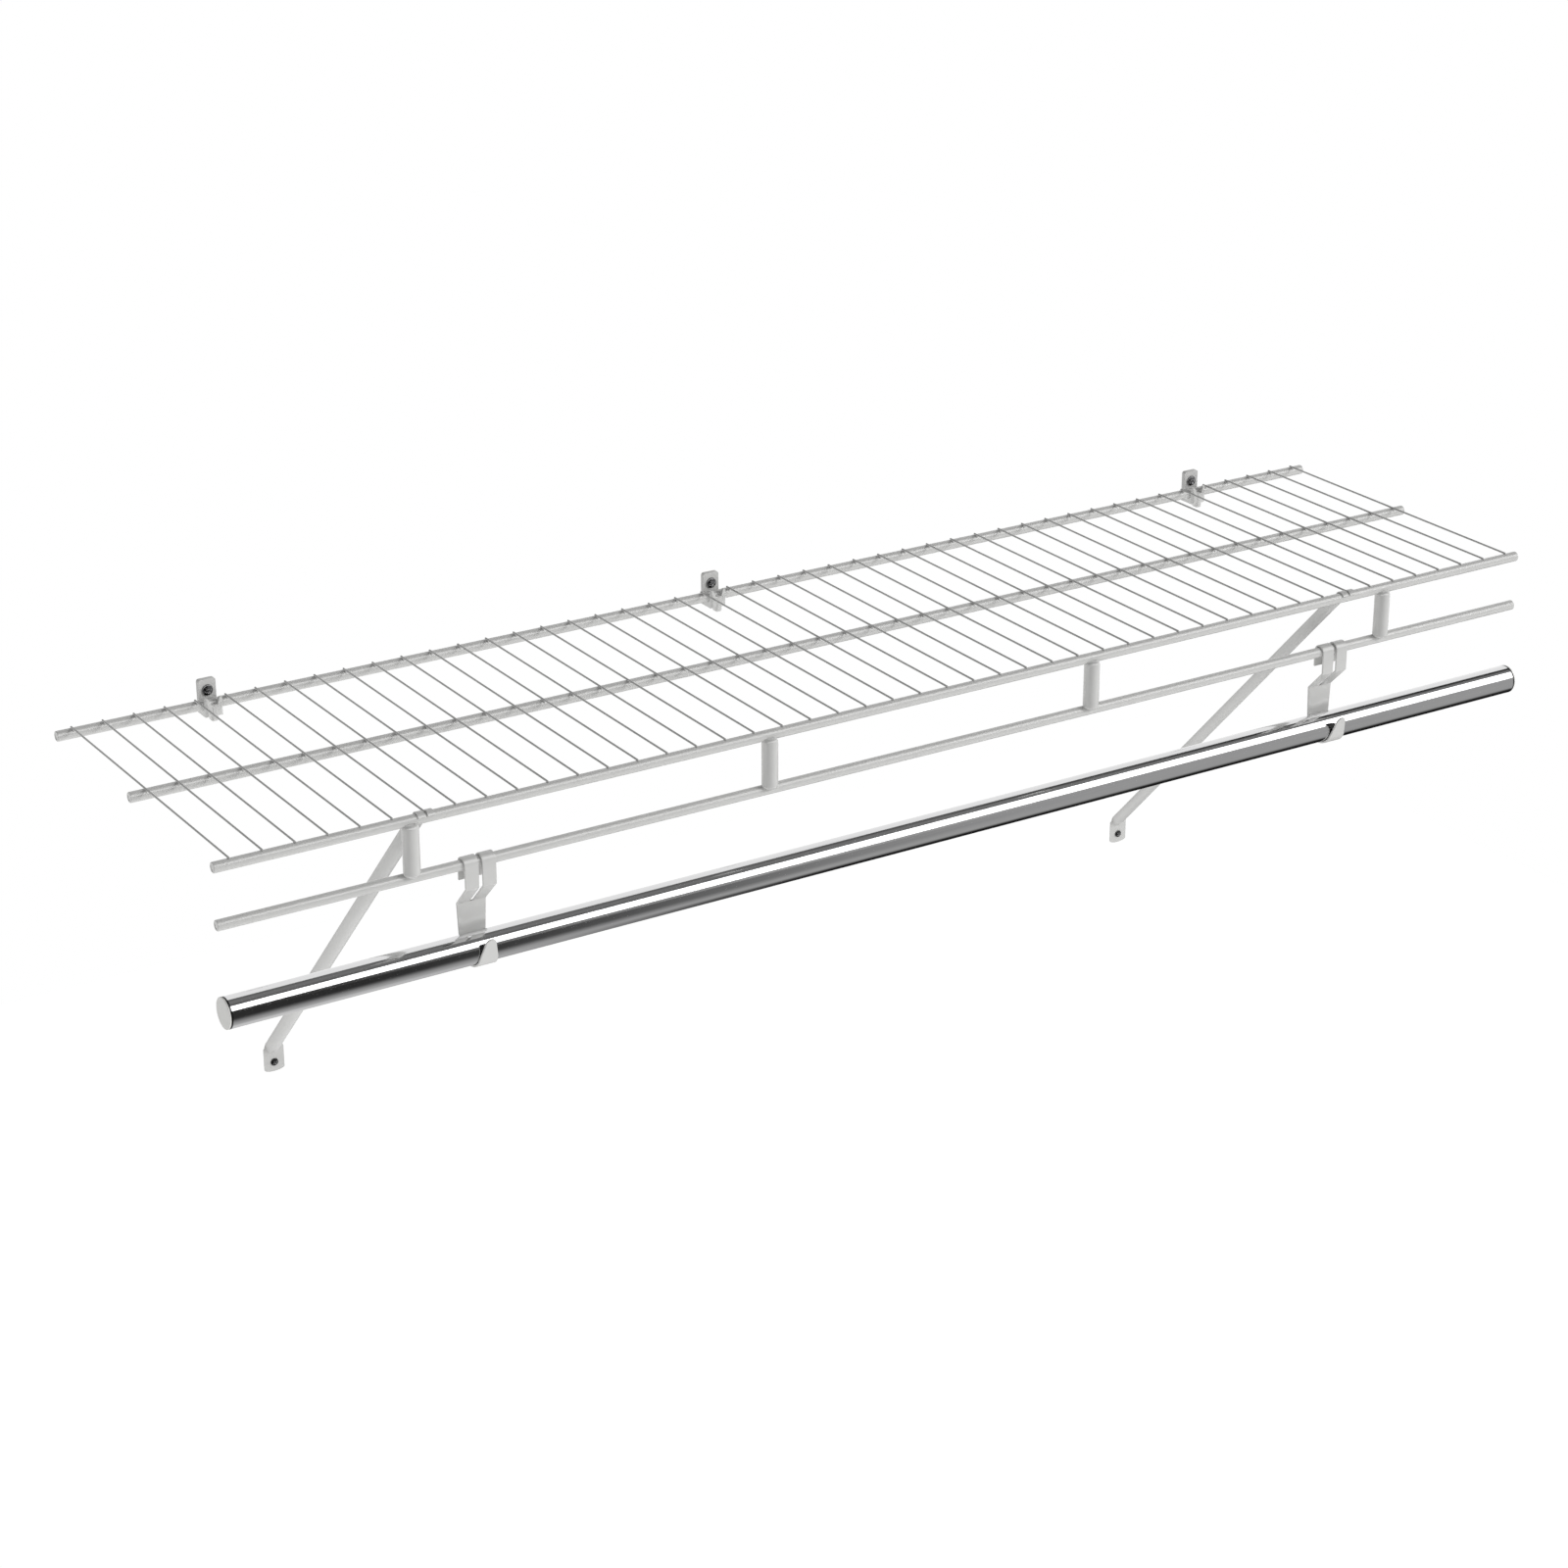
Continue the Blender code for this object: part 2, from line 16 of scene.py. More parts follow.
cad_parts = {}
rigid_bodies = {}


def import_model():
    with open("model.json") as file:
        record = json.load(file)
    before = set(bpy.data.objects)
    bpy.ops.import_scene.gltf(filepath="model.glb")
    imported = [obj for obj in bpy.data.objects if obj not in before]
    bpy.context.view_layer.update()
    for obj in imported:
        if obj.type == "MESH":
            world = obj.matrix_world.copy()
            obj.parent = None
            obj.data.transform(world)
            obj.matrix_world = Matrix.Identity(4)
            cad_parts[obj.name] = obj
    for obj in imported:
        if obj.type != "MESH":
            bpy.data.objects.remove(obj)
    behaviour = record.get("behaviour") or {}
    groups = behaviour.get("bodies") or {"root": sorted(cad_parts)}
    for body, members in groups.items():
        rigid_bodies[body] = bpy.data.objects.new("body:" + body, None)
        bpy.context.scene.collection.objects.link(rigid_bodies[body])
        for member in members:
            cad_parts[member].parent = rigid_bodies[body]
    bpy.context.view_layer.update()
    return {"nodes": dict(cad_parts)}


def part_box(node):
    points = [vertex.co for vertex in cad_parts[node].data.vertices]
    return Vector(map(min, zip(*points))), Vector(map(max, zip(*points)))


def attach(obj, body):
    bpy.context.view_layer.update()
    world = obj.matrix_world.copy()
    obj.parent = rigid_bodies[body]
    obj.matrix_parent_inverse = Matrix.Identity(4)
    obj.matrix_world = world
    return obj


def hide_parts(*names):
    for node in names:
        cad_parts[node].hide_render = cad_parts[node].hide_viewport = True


for left_over in list(bpy.data.objects):
    bpy.data.objects.remove(left_over, do_unlink=True)
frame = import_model()

# Sizes shared with the solids
shelf_length = 1.2192
shelf_centre = 0.0254
rail_radius = 0.0042
rear_rail_y = -0.0092
middle_rail_y = -0.1491
front_rail_y = -0.2955
middle_rail_z = 0.0002
lower_rail_z = -0.0446
wire_pitch = 0.0254
wire_count = 48
wire_radius = 0.0008
wire_z = 0.0050
wire_end_overhang = 0.0007
post_radius = 0.00645
post_y = -0.2984
post_top = -0.0012
post_bottom = -0.0426
post_length_shares = (-3 / 8, -1 / 8, 1 / 8, 3 / 8)
rod_radius = 0.0121
rod_wall = 0.0010
rod_y = -0.2969
rod_z = -0.1128
rod_half = 0.6077

# Details that the solids leave out
bar_end_rounding = 0.0007
bar_end_dish = 0.0005
bar_end_dish_radius = 0.0030
weld_half_sizes = (0.0010, 0.0017, 0.0005)
weld_lean = radians(38)
weld_upright = 0
post_edge_rounding = 0.0034
wire_end_rounding = 0.0003
rod_rim_rounding = 0.0004
pressed_edge = 0.00028
moulded_edge = 0.0008
strap_edge = 0.00045

clip_head_radius = 0.0045
clip_head_height = 0.0019
foot_head_radius = 0.0032
foot_head_height = 0.0014
head_flat_share = 0.80
head_drop_share = 0.40
head_edge_share = 0.80
recess_length_share = 0.60
recess_width_share = 0.13
recess_slope_share = 0.14
recess_depth_share = 0.75
clip_recess_turn = radians(20)
foot_recess_turn = radians(38)
# The near-black ring at each end of the rod: painted dark reflection where the rod meets its cap
seam_ring_radius = 0.01213
seam_ring_half = 0.0005
seam_ring_inset = 0.0004
seam_ring_depth = 0.0015
# How near the rod's axis, and how squarely towards it, a hook's face must be to get painted shade
inside_shade_reach = 0.0215
inside_shade_facing = 0.4

# Smoothness
bar_sides = 40
wire_sides = 14
weld_sides = 12
weld_rings = 8
rod_sides = 96
head_sides = 72
head_rings = 26
rounding_steps = 6
edge_steps = 3
sharp_edge = radians(32)
flat_enough = radians(0.5)
same_point = 0.000002


# Materials. A texture's scale is in grains a metre, and a bump is (strength, depth).
narrow = (0.35, 0.65)
wide = (0.3, 0.7)
unscaled = (1, 1, 1)

coat_ior = 1.65
coat_mottle_scale = 90
coat_gloss_scale = 260
coat_peel_scale = 900
coat_roughness = (0.19, 0.27)
coat_bump = (0.10, 0.00003)

chrome_stretch = (6, 900, 900)
chrome_dark = (0.70, 0.70, 0.71)
chrome_light = (0.74, 0.74, 0.74)
chrome_polish_scale = 120
chrome_roughness = (0.08, 0.12)
chrome_bump = (0.04, 0.000005)

plastic_ior = 1.5
plastic_flow_scale = 160
plastic_grain_scale = 2600
plastic_roughness = (0.32, 0.41)
plastic_bump = (0.12, 0.00001)

plating_scale = 1500
plating_roughness = (0.08, 0.14)
plating_bump = (0.1, 0.000005)


def principled(name, **values):
    """A material with its shader's own sockets set, and the nodes and links it can grow on."""
    made = bpy.data.materials.new(name)
    made.use_nodes = True
    shader = made.node_tree.nodes["Principled BSDF"]
    for socket, value in values.items():
        shader.inputs[socket.replace("_", " ")].default_value = value
    return made, made.node_tree.nodes, made.node_tree.links, shader


def place_scaled(nodes, links, scale):
    """The piece's own place, in metres, scaled along each axis."""
    place = nodes.new("ShaderNodeTexCoord")
    scaled = nodes.new("ShaderNodeMapping")
    scaled.inputs["Scale"].default_value = scale
    links.new(place.outputs["Object"], scaled.inputs["Vector"])
    return scaled.outputs["Vector"]


def noise(nodes, links, place, scale, detail):
    """A cloudy value from 0 to 1."""
    made = nodes.new("ShaderNodeTexNoise")
    made.inputs["Scale"].default_value = scale
    made.inputs["Detail"].default_value = detail
    links.new(place, made.inputs["Vector"])
    return made.outputs["Fac"]


def ramp(nodes, links, value, span, low, high):
    """The low grey or colour below the value's span, the high one above it, and an even run between."""
    made = nodes.new("ShaderNodeValToRGB")
    for element, at, shade in zip(made.color_ramp.elements, span, (low, high)):
        element.position = at
        element.color = (*shade, 1) if isinstance(shade, tuple) else (shade, shade, shade, 1)
    links.new(value, made.inputs["Fac"])
    return made.outputs["Color"]


def bump(nodes, links, shader, height, strength, depth):
    """Raises the surface by the height, up to the depth."""
    made = nodes.new("ShaderNodeBump")
    made.inputs["Strength"].default_value = strength
    made.inputs["Distance"].default_value = depth
    links.new(height, made.inputs["Height"])
    links.new(made.outputs["Normal"], shader.inputs["Normal"])


def coated(name, light, dark):
    """Epoxy coat on steel: a faint mottle, a satin gloss that varies, and fine orange peel."""
    made, nodes, links, shader = principled(name, IOR=coat_ior)
    place = place_scaled(nodes, links, unscaled)
    mottle = noise(nodes, links, place, coat_mottle_scale, 3)
    links.new(ramp(nodes, links, mottle, narrow, dark, light), shader.inputs["Base Color"])
    patches = noise(nodes, links, place, coat_gloss_scale, 2)
    links.new(ramp(nodes, links, patches, wide, *coat_roughness), shader.inputs["Roughness"])
    peel = noise(nodes, links, place, coat_peel_scale, 1)
    bump(nodes, links, shader, peel, *coat_bump)
    return made


def chromed(name):
    """Polished plate over drawn tube: faint lines along the tube and a slightly uneven polish."""
    made, nodes, links, shader = principled(name, Metallic=1.0)
    lines = noise(nodes, links, place_scaled(nodes, links, chrome_stretch), 1, 3)
    links.new(ramp(nodes, links, lines, wide, chrome_dark, chrome_light), shader.inputs["Base Color"])
    polish = noise(nodes, links, place_scaled(nodes, links, unscaled), chrome_polish_scale, 2)
    links.new(ramp(nodes, links, polish, wide, *chrome_roughness), shader.inputs["Roughness"])
    bump(nodes, links, shader, lines, *chrome_bump)
    return made


def moulded(name, light, dark):
    """Injection-moulded plastic with a fine grain and faint flow marks."""
    made, nodes, links, shader = principled(name, IOR=plastic_ior)
    place = place_scaled(nodes, links, unscaled)
    flow = noise(nodes, links, place, plastic_flow_scale, 3)
    links.new(ramp(nodes, links, flow, narrow, dark, light), shader.inputs["Base Color"])
    grain = noise(nodes, links, place, plastic_grain_scale, 2)
    links.new(ramp(nodes, links, grain, wide, *plastic_roughness), shader.inputs["Roughness"])
    bump(nodes, links, shader, grain, *plastic_bump)
    return made


def plated(name, light, dark):
    """Plated steel with fine turning marks."""
    made, nodes, links, shader = principled(name, Metallic=1.0)
    marks = noise(nodes, links, place_scaled(nodes, links, unscaled), plating_scale, 3)
    links.new(ramp(nodes, links, marks, wide, dark, light), shader.inputs["Base Color"])
    links.new(ramp(nodes, links, marks, wide, *plating_roughness), shader.inputs["Roughness"])
    bump(nodes, links, shader, marks, *plating_bump)
    return made


coat = coated("epoxy_coat", (0.575, 0.575, 0.565), (0.560, 0.560, 0.550))
# The rails' coat painted darker, as shade, on the wires and on the welds under them
coat_darkened_as_shade = coated("epoxy_coat_darkened_as_shade", (0.365, 0.365, 0.358), (0.350, 0.350, 0.343))
strap_coat = coated("epoxy_coat_on_strap", (0.585, 0.585, 0.575), (0.570, 0.570, 0.560))
chrome = chromed("polished_chrome")
nylon = moulded("white_nylon", (0.60, 0.60, 0.59), (0.585, 0.585, 0.575))
# The caps' grey is painted lighter than their plastic, for the light they miss facing away from the key
# lamp
cap_plastic = moulded("grey_cap_plastic_painted_lighter", (0.66, 0.66, 0.64), (0.64, 0.64, 0.62))
# Near-black steel: painted shade inside the hooks and painted dark reflection in the rings at the rod's
# ends
painted_dark_steel = plated("steel_painted_dark", (0.045, 0.045, 0.045), (0.03, 0.03, 0.03))
# Screw heads: zinc painted dark for the dark reflections on the heads, and lighter in the recesses for
# painted glints
zinc_darkened_as_reflection = plated("zinc_darkened_as_reflection", (0.20, 0.20, 0.20), (0.15, 0.15, 0.16))
zinc_lightened_as_glints = plated("zinc_lightened_as_glints", (0.46, 0.46, 0.46), (0.36, 0.36, 0.37))
zinc_blackened_as_reflection = plated("zinc_blackened_as_reflection", (0.07, 0.07, 0.07), (0.05, 0.05, 0.05))


# Pieces

def add(name, shape, finish, body, slot, *nodes):
    """A finished piece from a bmesh: shaded, riding on its body and standing for its nodes."""
    mesh = bpy.data.meshes.new(name)
    bmesh.ops.recalc_face_normals(shape, faces=shape.faces)
    shape.to_mesh(mesh)
    shape.free()
    mesh.shade_smooth()
    mesh.set_sharp_from_angle(angle=sharp_edge)
    mesh.materials.append(finish)
    made = bpy.data.objects.new(name, mesh)
    bpy.context.scene.collection.objects.link(made)
    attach(made, body)
    if nodes:
        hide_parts(*nodes)
    return made


def turn_profile(shape, profile, sides, place):
    """Adds a closed turned surface. The profile is (radius, along) and the axis is the place's Z."""
    rings = []
    for radius, along in profile:
        if radius == 0:
            rings.append([shape.verts.new(place @ Vector((0, 0, along)))])
            continue
        turns = [2 * pi * step / sides for step in range(sides)]
        rings.append([shape.verts.new(place @ Vector((radius * cos(a), radius * sin(a), along)))
                      for a in turns])
    for near, far in zip(rings, rings[1:]):
        for step in range(sides):
            after = (step + 1) % sides
            corners = [near[step % len(near)], near[after % len(near)],
                       far[after % len(far)], far[step % len(far)]]
            kept = list(dict.fromkeys(corners))
            if len(kept) > 2:
                shape.faces.new(kept)


def rounded_bar(radius, half, rounding, dish=None):
    """The profile of a bar with rounded ends, from one end to the other. A dish is (radius, depth)."""
    turns = [pi / 2 * step / rounding_steps for step in range(rounding_steps + 1)]
    inner = radius - rounding
    flat = half - rounding
    left = [(inner + rounding * sin(a), -flat - rounding * cos(a)) for a in turns]
    right = [(inner + rounding * cos(a), flat + rounding * sin(a)) for a in turns]
    if dish:
        wide, deep = dish
        left = [(wide - deep / 2, deep - half), (wide, -half), *left]
        right = [*right, (wide, half), (wide - deep / 2, half - deep)]
    end = half - dish[1] if dish else half
    return [(0, -end), *left, *right, (0, end)]


def unmirrored(piece):
    """Keeps a piece out of the rod's reflections, which are plain bands in the photograph."""
    piece.visible_glossy = False
    return piece


along_x = Matrix.Rotation(pi / 2, 4, "Y")
along_y = Matrix.Rotation(pi / 2, 4, "X")


def rail(name, y, z, *nodes):
    """A round bar along the shelf, dished at both ends."""
    shape = bmesh.new()
    dish = (bar_end_dish_radius, bar_end_dish)
    profile = rounded_bar(rail_radius, shelf_length / 2, bar_end_rounding, dish)
    turn_profile(shape, profile, bar_sides, Matrix.Translation((shelf_centre, y, z)) @ along_x)
    return unmirrored(add(name, shape, coat, "shelf", "coated_steel", *nodes))


def welds_on_rail(shape, y, z, lean):
    """Low rounded mounds on a rail, one under each wire, leaning from its top towards the room, where
    the wire's shadow runs down the rail.
    """
    for x in wire_places:
        place = (Matrix.Translation((x, y, z)) @ Matrix.Rotation(lean, 4, "X")
                 @ Matrix.Translation((0, 0, rail_radius)) @ Matrix.Diagonal((*weld_half_sizes, 1)))
        bmesh.ops.create_uvsphere(shape, u_segments=weld_sides, v_segments=weld_rings, radius=1,
                                  matrix=place)


wire_places = [shelf_centre + (index - (wire_count - 1) / 2) * wire_pitch for index in range(wire_count)]


def deck_wires():
    """The wires from the rear rail to the front one."""
    shape = bmesh.new()
    rear_end = rear_rail_y + wire_end_overhang
    front_end = front_rail_y - wire_end_overhang
    profile = rounded_bar(wire_radius, (rear_end - front_end) / 2, wire_end_rounding)
    for x in wire_places:
        place = Matrix.Translation((x, (rear_end + front_end) / 2, wire_z)) @ along_y
        turn_profile(shape, profile, wire_sides, place)
    return unmirrored(add("deck_wires", shape, coat_darkened_as_shade, "shelf", "coated_steel", "wire_deck"))


def deck_welds():
    """Where each wire meets the rails under it, a mound of coat: a real fillet, in the darkened coat as
    painted contact shadow.
    """
    shape = bmesh.new()
    welds_on_rail(shape, rear_rail_y, 0, weld_lean)
    welds_on_rail(shape, middle_rail_y, middle_rail_z, weld_lean)
    welds_on_rail(shape, front_rail_y, 0, weld_upright)
    return unmirrored(add("deck_welds", shape, coat_darkened_as_shade, "shelf", "coated_steel", "wire_deck"))


def posts():
    """The upright bars between the front and the lower rail."""
    for number, share in enumerate(post_length_shares, 1):
        shape = bmesh.new()
        x = shelf_centre + share * shelf_length
        half = (post_top - post_bottom) / 2
        place = Matrix.Translation((x, post_y, (post_top + post_bottom) / 2))
        turn_profile(shape, rounded_bar(post_radius, half, post_edge_rounding), bar_sides, place)
        add(f"post_{number}_bar", shape, coat, "shelf", "coated_steel", f"post_{number}")


def rod():
    """The chrome tube, open at both ends, with rounded rims."""
    shape = bmesh.new()
    bore = rod_radius - rod_wall
    outside = rounded_bar(rod_radius, rod_half, rod_rim_rounding)[1:-1]
    profile = [*outside, (bore, rod_half), (bore, -rod_half), outside[0]]
    turn_profile(shape, profile, rod_sides, Matrix.Translation((shelf_centre, rod_y, rod_z)) @ along_x)
    bmesh.ops.remove_doubles(shape, verts=shape.verts, dist=same_point)
    add("closet_rod", shape, chrome, "closet_rod", "rod_chrome", "closet_rod_tube")


def recess_share(along, across, radius):
    """How deep a cross recess is at a place on the head: 1 on its floor, 0 outside it."""
    slope = recess_slope_share * radius
    long, wide = recess_length_share * radius, recess_width_share * radius
    arms = [min(max((wide - abs(a)) / slope + 0.5, 0), 1) * min(max((long - abs(b)) / slope, 0), 1)
            for a, b in ((along, across), (across, along))]
    return max(arms)


def screw_head(name, node, radius, height, turn, finish, recess_finish):
    """A low domed head with a rounded rim and a cross recess, where its node has its head."""
    flat = head_flat_share * radius
    crown_low = height * (1 - head_drop_share)
    steps = [step / head_rings for step in range(head_rings + 1)]
    crown = [(flat * share, height - (height - crown_low) * share ** 2) for share in steps]
    turns = [pi / 2 * step / rounding_steps for step in range(1, rounding_steps + 1)]
    edge = [(flat + (radius - flat) * sin(a), crown_low * (1 - head_edge_share * (1 - cos(a))))
            for a in turns]
    shape = bmesh.new()
    turn_profile(shape, [*crown, *edge, (radius, 0), (0, 0)], head_sides, Matrix.Identity(4))
    sunk = {}
    for point in shape.verts:
        along = point.co.x * cos(turn) + point.co.y * sin(turn)
        across = point.co.y * cos(turn) - point.co.x * sin(turn)
        sunk[point] = recess_share(along, across, radius) if point.co.z > 0 else 0
        point.co.z -= recess_depth_share * height * sunk[point]
    # Faces in the recess take the second, lighter finish, which paints the glints
    for face in shape.faces:
        face.material_index = int(any(sunk[point] > 0 for point in face.verts))
    low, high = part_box(node)
    place = Matrix.Translation(((low.x + high.x) / 2, low.y + height, (low.z + high.z) / 2)) @ along_y
    bmesh.ops.transform(shape, matrix=place, verts=shape.verts)
    made = add(name, shape, finish, "shelf", "screw_steel", node)
    made.data.materials.append(recess_finish)
    return made


def rod_end_dark_ring(side, end):
    """A near-black ring where the rod's end meets its cap, painted in for the dark reflection of the
    tube's rim.
    """
    outer, inner, half = seam_ring_radius, seam_ring_radius - seam_ring_depth, seam_ring_half
    profile = [(inner, -half), (outer, -half), (outer, half), (inner, half), (inner, -half)]
    shape = bmesh.new()
    turn_profile(shape, profile, rod_sides, Matrix.Translation((end, rod_y, rod_z)) @ along_x)
    bmesh.ops.remove_doubles(shape, verts=shape.verts, dist=same_point)
    return add(f"rod_end_dark_ring_{side}", shape, painted_dark_steel, "closet_rod", "rod_chrome")


def shade_inside_hook(hook):
    """The faces of a hook near the rod and facing it, given the near-black steel as painted shade."""
    hook.data.materials.append(painted_dark_steel)
    for face in hook.data.polygons:
        inward = Vector((0, rod_y - face.center.y, rod_z - face.center.z))
        if inward.length < inside_shade_reach and face.normal.dot(inward.normalized()) > inside_shade_facing:
            face.material_index = 1


def dressed(node, body, finish, slot, rounding, name):
    """A copy of a node with its edges rounded."""
    shape = bmesh.new()
    shape.from_mesh(frame["nodes"][node].data)
    bmesh.ops.remove_doubles(shape, verts=shape.verts, dist=same_point)
    bmesh.ops.dissolve_limit(shape, angle_limit=flat_enough, verts=shape.verts, edges=shape.edges)
    made = add(name, shape, finish, body, slot, node)
    edges = made.modifiers.new("rounded_edges", "BEVEL")
    edges.width = rounding
    edges.segments = edge_steps
    edges.limit_method = "ANGLE"
    edges.angle_limit = sharp_edge
    edges.harden_normals = True
    return made


rail("rear_rail_bar", rear_rail_y, 0, "rear_rail")
rail("front_rail_bar", front_rail_y, 0, "front_rail")
rail("lower_rail_bar", front_rail_y, lower_rail_z, "lower_rail")
rail("middle_rail_bar", middle_rail_y, middle_rail_z, "wire_deck")
deck_wires()
deck_welds()
posts()
rod()
for side in ("left", "middle", "right"):
    dressed(f"wall_clip_{side}", "shelf", nylon, "clip_plastic", moulded_edge, f"moulded_clip_{side}")
    screw_head(f"clip_screw_head_{side}", f"clip_screw_{side}", clip_head_radius,
               clip_head_height, clip_recess_turn, zinc_darkened_as_reflection, zinc_lightened_as_glints)
for side, sign in (("left", -1), ("right", 1)):
    dressed(f"brace_{side}", "shelf", coat, "coated_steel", pressed_edge, f"pressed_brace_{side}")
    screw_head(f"brace_screw_head_{side}", f"brace_screw_{side}", foot_head_radius,
               foot_head_height, foot_recess_turn, zinc_blackened_as_reflection, zinc_lightened_as_glints)
    # Each hook's faces towards the rod are painted dark as shade.
    shade_inside_hook(dressed(f"rod_hook_{side}", f"hook_{side}", strap_coat, "coated_strap", strap_edge,
                       f"strap_hook_{side}"))
    dressed(f"rod_cap_{side}", "closet_rod", cap_plastic, "cap_plastic", rod_rim_rounding,
            f"end_cap_{side}")
    rod_end_dark_ring(side, shelf_centre + sign * (rod_half - seam_ring_inset))


# Floor, reflection cards, lamps and world

floor_drop = 1.75
floor_half = 3.0
floor_grey = 0.8
floor_glow = 0.60
uplight = 0.80
uplight_lift = 0.01
sky_above = 0.30
sky_below = 1.24
sky_turn = (-0.15, 0.10)
key_strength = 0.54
key_azimuth = radians(50)
key_elevation = radians(25)
key_spread = radians(25)

# The cards round the rod. Their angles run from the front, at 0, up over the shelf. An edge is its angle
# left of the middle and its gain for each metre to the right, both in degrees.
card_reach = 4.0
card_steps = 40
front_card_radius = 2.6
front_card_span = (radians(9), radians(120))
front_card_rows = 111
low_card_radius = 1.55
low_card_span = (radians(-150), radians(10))
low_card_rows = 40
softbox_low_edge = (28.6, -1.9)
softbox_high_edge = (60.8, 3.9)
dark_far_edge = (114, 1.6)
softbox_grey = 3.0
beyond_grey = 1.0
right_turn = (0.5, 3.0)
dark_near_grey = (0.14, 0.06)
dark_middle_grey = 0.21
dark_far_grey = (0.15, -0.12)
dark_rise = (radians(70), radians(86))
dark_fall = (radians(90), radians(106))
patch_reach = 1.35
patch_edge = radians(-20)
patch_depth = radians(48)
low_grey = 0.40
patch_drop = 0.37
ground_left_grey = 0.70
ground_least_grey = 0.012
ground_turn = (0, 0.75)
ground_fall = (radians(65), radians(95))


def background_rays(nodes, links):
    """1 for the rays that should see the plain white background, 0 for the others."""
    path = nodes.new("ShaderNodeLightPath")
    first = nodes.new("ShaderNodeMath")
    first.operation = "MAXIMUM"
    links.new(path.outputs["Is Camera Ray"], first.inputs[0])
    links.new(path.outputs["Is Glossy Ray"], first.inputs[1])
    both = nodes.new("ShaderNodeMath")
    both.operation = "MAXIMUM"
    links.new(first.outputs["Value"], both.inputs[0])
    links.new(path.outputs["Is Transmission Ray"], both.inputs[1])
    return both.outputs["Value"]


def stand(name, data):
    """Puts something in the studio that isn't part of the shelf."""
    made = bpy.data.objects.new(name, data)
    bpy.context.scene.collection.objects.link(made)
    return made


def floor():
    """A pale floor at the real drop below the shelf. It shows white and keeps the object's shadow."""
    made = bpy.data.materials.new("pale_floor")
    made.use_nodes = True
    nodes, links = made.node_tree.nodes, made.node_tree.links
    shader = nodes["Principled BSDF"]
    shader.inputs["Base Color"].default_value = (floor_grey, floor_grey, floor_grey, 1)
    shader.inputs["Roughness"].default_value = 1
    shader.inputs["Specular IOR Level"].default_value = 0
    glow = nodes.new("ShaderNodeEmission")
    glow.inputs["Color"].default_value = (1, 1, 1, 1)
    lit = nodes.new("ShaderNodeMath")
    lit.operation = "MULTIPLY"
    lit.inputs[1].default_value = floor_glow
    links.new(background_rays(nodes, links), lit.inputs[0])
    links.new(lit.outputs["Value"], glow.inputs["Strength"])
    both = nodes.new("ShaderNodeAddShader")
    links.new(shader.outputs["BSDF"], both.inputs[0])
    links.new(glow.outputs["Emission"], both.inputs[1])
    links.new(both.outputs["Shader"], nodes["Material Output"].inputs["Surface"])
    mesh = bpy.data.meshes.new("floor")
    corners = [(-floor_half, -floor_half, -floor_drop), (floor_half, -floor_half, -floor_drop),
               (floor_half, floor_half, -floor_drop), (-floor_half, floor_half, -floor_drop)]
    mesh.from_pydata(corners, [], [(0, 1, 2, 3)])
    made.cycles.emission_sampling = "NONE"
    mesh.materials.append(made)
    stand("floor", mesh)


def card(name, radius, span, rows, shade):
    """A curved card that only reflections see. The shade is its grey at a place along X and an angle."""
    start, end = span
    points, greys = [], []
    for step in range(rows + 1):
        angle = start + (end - start) * step / rows
        for across in range(card_steps + 1):
            x = card_reach * (2 * across / card_steps - 1)
            points.append((x, rod_y - radius * cos(angle), rod_z + radius * sin(angle)))
            greys.append(shade(x, angle))
    row = card_steps + 1
    faces = [(step * row + across, step * row + across + 1, (step + 1) * row + across + 1,
              (step + 1) * row + across) for step in range(rows) for across in range(card_steps)]
    mesh = bpy.data.meshes.new(name)
    mesh.from_pydata(points, [], faces)
    colours = mesh.color_attributes.new("grey", "FLOAT_COLOR", "POINT")
    for place, grey in zip(colours.data, greys):
        place.color = (grey, grey, grey, 1)
    glow = bpy.data.materials.new(name)
    glow.use_nodes = True
    nodes, links = glow.node_tree.nodes, glow.node_tree.links
    nodes.remove(nodes["Principled BSDF"])
    shine = nodes.new("ShaderNodeEmission")
    painted = nodes.new("ShaderNodeAttribute")
    painted.attribute_name = "grey"
    links.new(painted.outputs["Color"], shine.inputs["Color"])
    links.new(shine.outputs["Emission"], nodes["Material Output"].inputs["Surface"])
    glow.cycles.emission_sampling = "NONE"
    mesh.materials.append(glow)
    made = stand(name, mesh)
    made.visible_camera = False
    made.visible_diffuse = False
    made.visible_shadow = False
    made.visible_transmission = False


def smooth(value, low, high):
    """0 below low, 1 above high, and an even turn between."""
    share = min(max((value - low) / (high - low), 0), 1)
    return share * share * (3 - 2 * share)


def edge_angle(x, edge):
    """Where an edge lies at a place along X."""
    at, gain = edge
    return radians(at + gain * max(x, 0))


def front_shade(x, angle):
    """A white softbox that widens to the right, with a dark band above it and white beyond that."""
    if angle < edge_angle(x, softbox_low_edge):
        return low_shade(x, 0)
    if angle < edge_angle(x, softbox_high_edge):
        return softbox_grey
    if angle > edge_angle(x, dark_far_edge):
        return beyond_grey
    right = smooth(x, *right_turn)
    near, far = (start + gain * right for start, gain in (dark_near_grey, dark_far_grey))
    rise, fall = smooth(angle, *dark_rise), smooth(angle, *dark_fall)
    return near + (dark_middle_grey - near) * rise + (far - dark_middle_grey) * fall


def low_shade(x, angle):
    """Mid grey, with a soft dark patch high on the left and dark ground low on the right."""
    patch = hypot(max(x, 0) / patch_reach, max(patch_edge - angle, 0) / patch_depth)
    grey = low_grey - patch_drop * (1 - smooth(patch, 0, 1))
    ground = ground_left_grey * (1 - smooth(x, *ground_turn)) + ground_least_grey
    down = smooth(-angle, *ground_fall)
    return grey * (1 - down) + ground * down


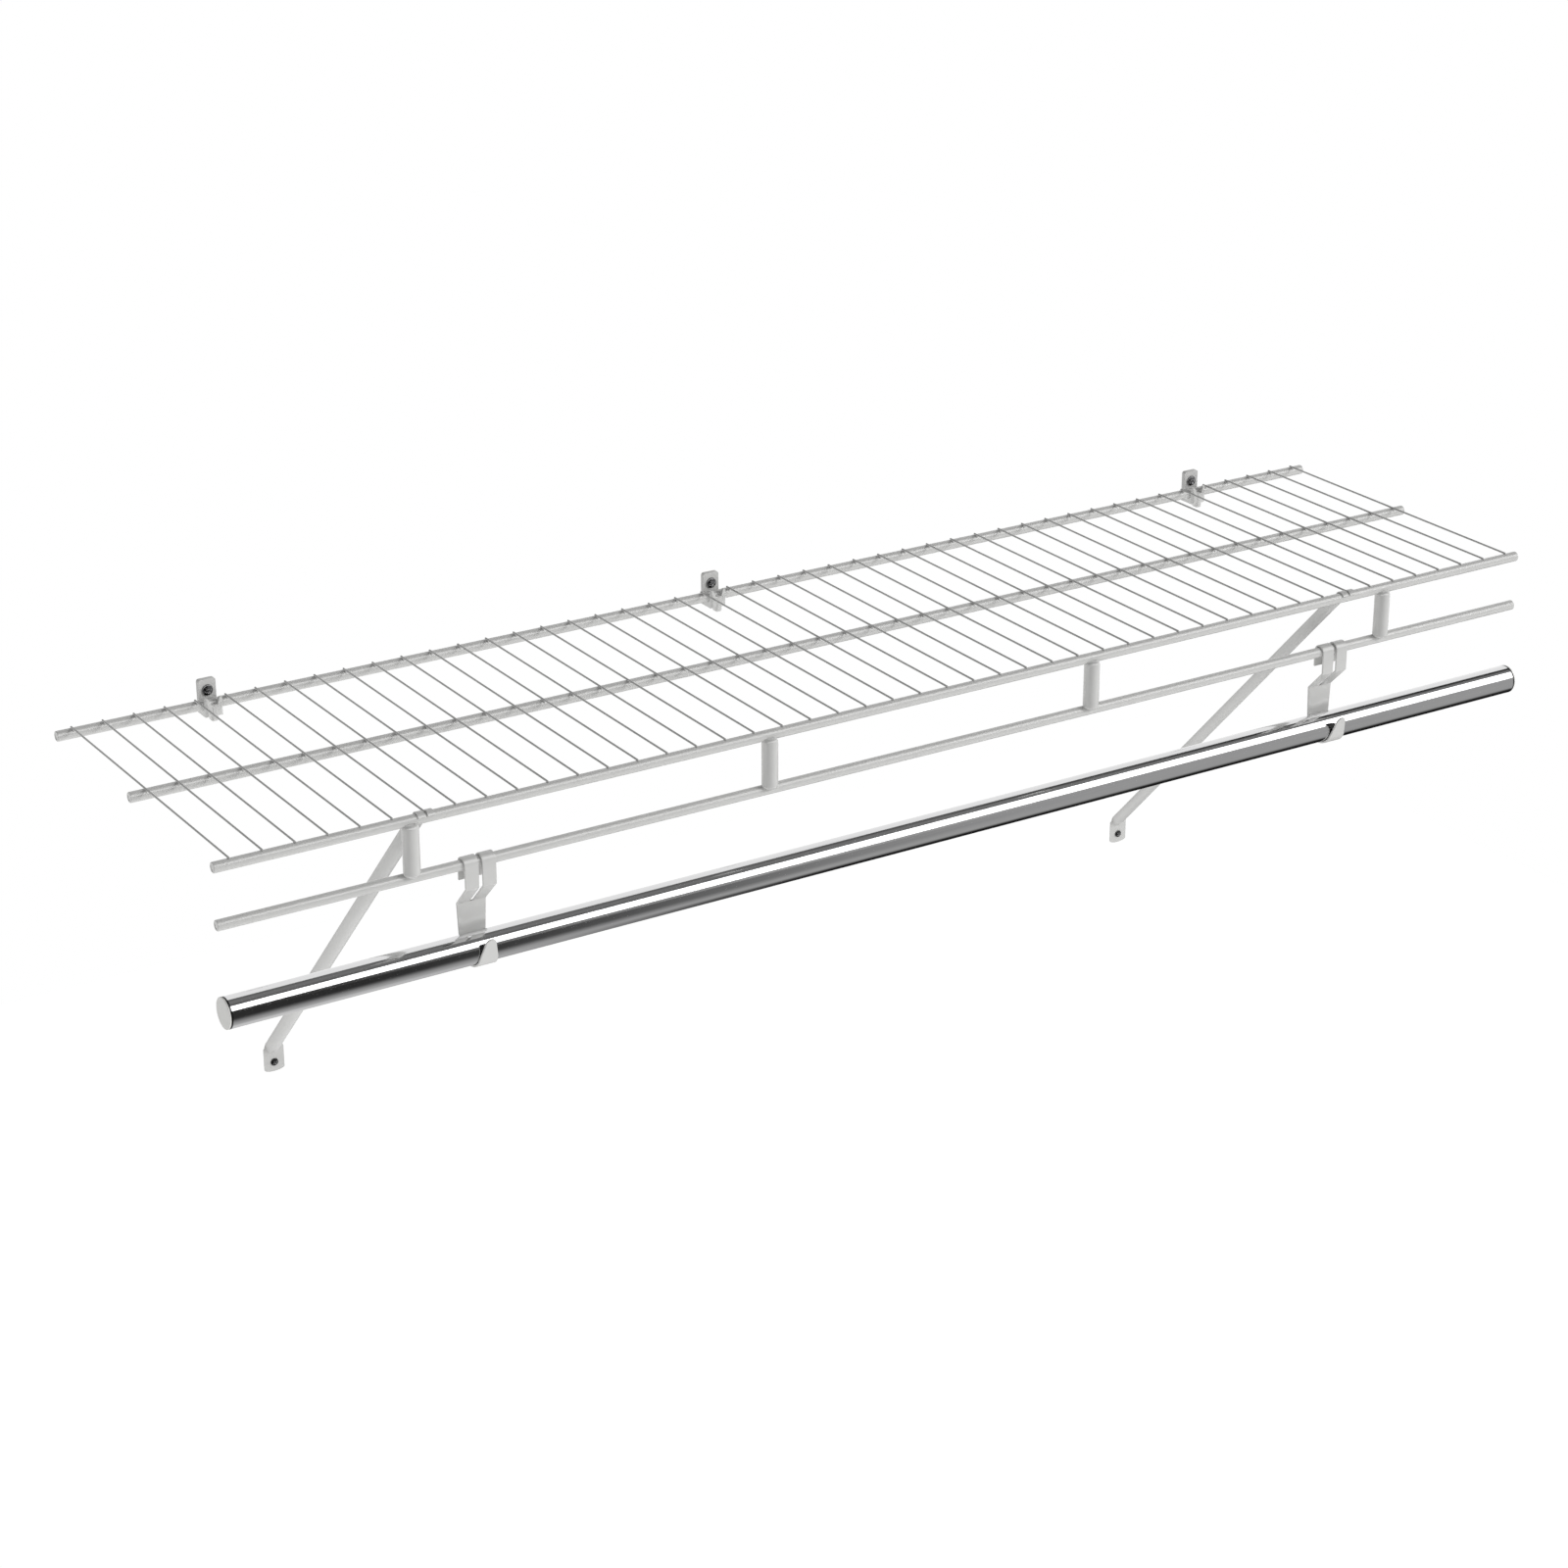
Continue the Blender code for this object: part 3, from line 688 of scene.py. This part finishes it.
def lamps():
    """A soft key lamp from the right of the room side, and an even light up from the floor."""
    data = bpy.data.lights.new("key", "SUN")
    data.energy = key_strength * pi
    data.angle = key_spread
    key = stand("key", data)
    towards = Vector((sin(key_azimuth) * cos(key_elevation), -cos(key_azimuth) * cos(key_elevation),
                      sin(key_elevation)))
    key.rotation_euler = towards.to_track_quat("Z", "Y").to_euler()

    data = bpy.data.lights.new("uplight", "AREA")
    data.shape = "SQUARE"
    data.size = 2 * floor_half
    data.energy = uplight * pi * data.size ** 2
    up = stand("uplight", data)
    up.location = (0, 0, uplight_lift - floor_drop)
    up.rotation_euler = (pi, 0, 0)
    for lamp in (key, up):
        lamp.visible_camera = False
        lamp.visible_glossy = False


def world():
    """White where the background shows. The light itself is dim overhead and bright from below."""
    made = bpy.data.worlds.new("studio")
    made.use_nodes = True
    bpy.context.scene.world = made
    nodes, links = made.node_tree.nodes, made.node_tree.links
    sky = nodes["Background"]
    place = nodes.new("ShaderNodeTexCoord")
    parts = nodes.new("ShaderNodeSeparateXYZ")
    links.new(place.outputs["Generated"], parts.inputs["Vector"])
    level = nodes.new("ShaderNodeMapRange")
    bounds = {"From Min": sky_turn[0], "From Max": sky_turn[1], "To Min": sky_below, "To Max": sky_above}
    for socket, value in bounds.items():
        level.inputs[socket].default_value = value
    links.new(parts.outputs["Z"], level.inputs["Value"])
    links.new(level.outputs["Result"], sky.inputs["Strength"])
    sky.inputs["Color"].default_value = (1, 1, 1, 1)
    white = nodes.new("ShaderNodeBackground")
    white.inputs["Color"].default_value = (1, 1, 1, 1)
    white.inputs["Strength"].default_value = 1
    choice = nodes.new("ShaderNodeMixShader")
    links.new(background_rays(nodes, links), choice.inputs["Fac"])
    links.new(sky.outputs["Background"], choice.inputs[1])
    links.new(white.outputs["Background"], choice.inputs[2])
    links.new(choice.outputs["Shader"], nodes["World Output"].inputs["Surface"])


floor()
card("front_card", front_card_radius, front_card_span, front_card_rows, front_shade)
card("low_card", low_card_radius, low_card_span, low_card_rows, low_shade)
lamps()
world()


# Camera

camera_data = bpy.data.cameras.new("camera")
camera_data.lens = 82.758
camera_data.sensor_width = 36
camera = bpy.data.objects.new("camera", camera_data)
camera.location = (-1.47369, -2.44042, 1.03388)
camera.rotation_euler = (radians(67.0135), 0, radians(-32.4015))
bpy.context.scene.collection.objects.link(camera)
bpy.context.scene.camera = camera
bpy.context.scene.view_settings.view_transform = "Standard"
